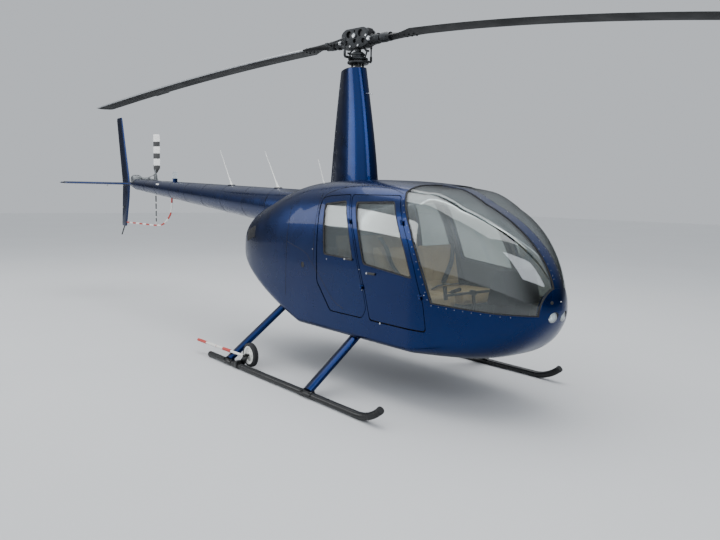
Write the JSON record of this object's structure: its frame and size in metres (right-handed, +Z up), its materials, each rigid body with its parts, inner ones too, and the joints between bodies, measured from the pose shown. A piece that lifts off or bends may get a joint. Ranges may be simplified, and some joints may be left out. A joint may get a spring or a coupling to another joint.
{
  "type": "light helicopter",
  "caption": "Light four-seat helicopter on skids with a two-blade main rotor, a slim tail cone with a guarded tail rotor, hinged cabin doors and clip-on ground wheels.",
  "frame": {"origin": "on the ground under the middle of the whole machine's box, rotors included", "axes": "+X towards the nose, +Y to the left side, +Z up"},
  "size_m": [11.6769, 2.226, 3.28],
  "materials": {
    "blue_paint": "metallic gloss",
    "tinted_glass": "gloss",
    "lamp_glass": "gloss",
    "black_paint": "satin",
    "cabin_carpet": "matte",
    "tan_leather": "satin",
    "black_plastic": "matte",
    "bare_aluminium": "satin",
    "blade_paint": "satin",
    "white_paint": "gloss",
    "guard_paint": "gloss",
    "antenna_white": "gloss",
    "tyre": "matte"
  },
  "bodies": {
    "airframe": {"nose_shell": "blue_paint", "belly_pan": "blue_paint", "roof_and_posts": "blue_paint", "windshield_right": "tinted_glass", "windshield_left": "tinted_glass", "landing_lamps": "lamp_glass", "aft_cowling": "blue_paint", "tail_cone": "blue_paint", "firewall": "black_paint", "cabin_floor": "cabin_carpet", "front_seat_right": "tan_leather", "front_seat_left": "tan_leather", "rear_seat": "tan_leather", "instrument_console": "black_plastic", "cyclic_stick": "black_plastic", "engine_block": "bare_aluminium", "cooling_fan": "black_plastic", "mast_fairing": "blue_paint", "fixed_swashplate": "bare_aluminium", "tail_gearbox": "black_paint", "upper_fin": "blue_paint", "lower_fin": "blue_paint", "horizontal_stabilizer": "blue_paint", "tail_rotor_guard": "guard_paint", "antenna_front": "antenna_white", "antenna_middle": "antenna_white", "antenna_back": "antenna_white", "beacon": "lamp_glass", "tail_lamp": "lamp_glass", "skid_right": "black_paint", "skid_left": "black_paint", "front_leg_right": "blue_paint", "front_leg_left": "blue_paint", "rear_leg_right": "blue_paint", "rear_leg_left": "blue_paint", "ground_wheel_bracket_right": "black_paint", "ground_wheel_bracket_left": "black_paint"},
    "main_rotor": {"rotor_head": "bare_aluminium", "rotor_blade_aft": "blade_paint", "rotor_blade_forward": "blade_paint"},
    "tail_rotor": {"tail_rotor": "white_paint"},
    "front_door_right": {"front_door_right": "blue_paint", "front_door_window_right": "tinted_glass"},
    "front_door_left": {"front_door_left": "blue_paint", "front_door_window_left": "tinted_glass"},
    "rear_door_right": {"rear_door_right": "blue_paint", "rear_door_window_right": "tinted_glass"},
    "rear_door_left": {"rear_door_left": "blue_paint", "rear_door_window_left": "tinted_glass"},
    "ground_wheel_right": {"ground_wheel_tyre_right": "tyre", "ground_wheel_hub_right": "white_paint"},
    "ground_wheel_left": {"ground_wheel_tyre_left": "tyre", "ground_wheel_hub_left": "white_paint"}
  },
  "joints": [
    {"name": "main_rotor_spin", "type": "hinge", "parent": "airframe", "child": "main_rotor", "pos_m": [0.8515, 0, 3.1], "axis": [0, 0, 1], "continuous": true},
    {"name": "tail_rotor_spin", "type": "hinge", "parent": "airframe", "child": "tail_rotor", "pos_m": [-5.0135, 0.34, 1.875], "axis": [0, 1, 0], "continuous": true},
    {"name": "front_door_right_hinge", "type": "hinge", "parent": "airframe", "child": "front_door_right", "pos_m": [2.1995, -0.59556, 1.48], "axis": [-0.4084, 0.0357, 0.9121], "range_deg": [0, 65]},
    {"name": "front_door_left_hinge", "type": "hinge", "parent": "airframe", "child": "front_door_left", "pos_m": [2.1995, 0.59556, 1.48], "axis": [0.4084, 0.0357, -0.9121], "range_deg": [0, 65]},
    {"name": "rear_door_right_hinge", "type": "hinge", "parent": "airframe", "child": "rear_door_right", "pos_m": [1.5345, -0.60668, 1.464], "axis": [-0.3642, 0.0506, 0.93], "range_deg": [0, 65]},
    {"name": "rear_door_left_hinge", "type": "hinge", "parent": "airframe", "child": "rear_door_left", "pos_m": [1.5345, 0.60668, 1.464], "axis": [0.3642, 0.0506, -0.93], "range_deg": [0, 65]},
    {"name": "ground_wheel_right_spin", "type": "hinge", "parent": "airframe", "child": "ground_wheel_right", "pos_m": [0.5215, -0.994, 0.141], "axis": [0, 1, 0], "continuous": true},
    {"name": "ground_wheel_left_spin", "type": "hinge", "parent": "airframe", "child": "ground_wheel_left", "pos_m": [0.5215, 0.994, 0.141], "axis": [0, 1, 0], "continuous": true}
  ]
}
